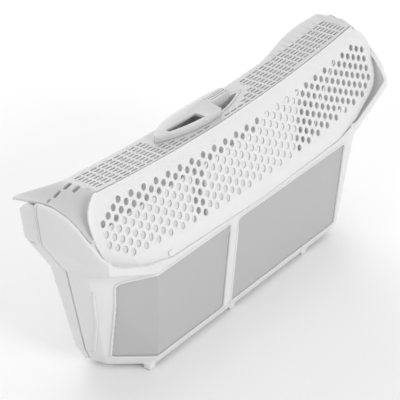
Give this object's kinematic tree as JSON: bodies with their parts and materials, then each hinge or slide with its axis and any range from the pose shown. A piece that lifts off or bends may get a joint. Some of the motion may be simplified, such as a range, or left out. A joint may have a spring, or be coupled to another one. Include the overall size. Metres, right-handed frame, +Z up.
{
  "type": "dryer lint filter cassette",
  "caption": "Fold-open lint filter cassette of white plastic: a curved, perforated tray with slotted deck and grip over a tapered mesh pocket.",
  "frame": {"origin": "middle of the footprint, level with the bottom of the feet and hinge barrels", "axes": "+X along the cassette, -Y towards the drum (perforated panel), +Z up; closed as it stands in the dryer"},
  "size_m": [0.3558, 0.066, 0.1538],
  "materials": {
    "white_plastic": "satin, slightly translucent white",
    "mesh": "fine woven white filter mesh",
    "pin": "plain steel pin"
  },
  "bodies": {
    "front_half": {"front_housing": "white_plastic", "drum_side_panel": "white_plastic", "deck_cover": "white_plastic", "panel_clips": "white_plastic", "grip_bowl": "white_plastic", "grip_bridge": "white_plastic", "front_mesh_left": "mesh", "front_mesh_right": "mesh", "front_mesh_rim_left": "white_plastic", "front_mesh_rim_right": "white_plastic", "hinge_pin_left": "pin", "hinge_pin_middle": "pin", "hinge_pin_right": "pin", "seam_strip_left": "white_plastic", "seam_strip_right": "white_plastic"},
    "rear_half": {"rear_housing": "white_plastic", "rear_mesh_left": "mesh", "rear_mesh_right": "mesh", "rear_mesh_rim_left": "white_plastic", "rear_mesh_rim_right": "white_plastic", "latch_catch": "white_plastic"},
    "release_tab": {"release_tab": "white_plastic"}
  },
  "joints": [
    {"name": "rear_hinge", "type": "hinge", "parent": "front_half", "child": "rear_half", "pos_m": [0, 0.017, 0.003], "axis": [-1, 0, 0], "range_deg": [0, 70]},
    {"name": "release_tab_tip", "type": "hinge", "parent": "front_half", "child": "release_tab", "pos_m": [0.003, 0.0082, 0.1383], "axis": [1, 0, 0], "range_deg": [0, 10], "stiffness_Nm_per_rad": 0.2}
  ]
}
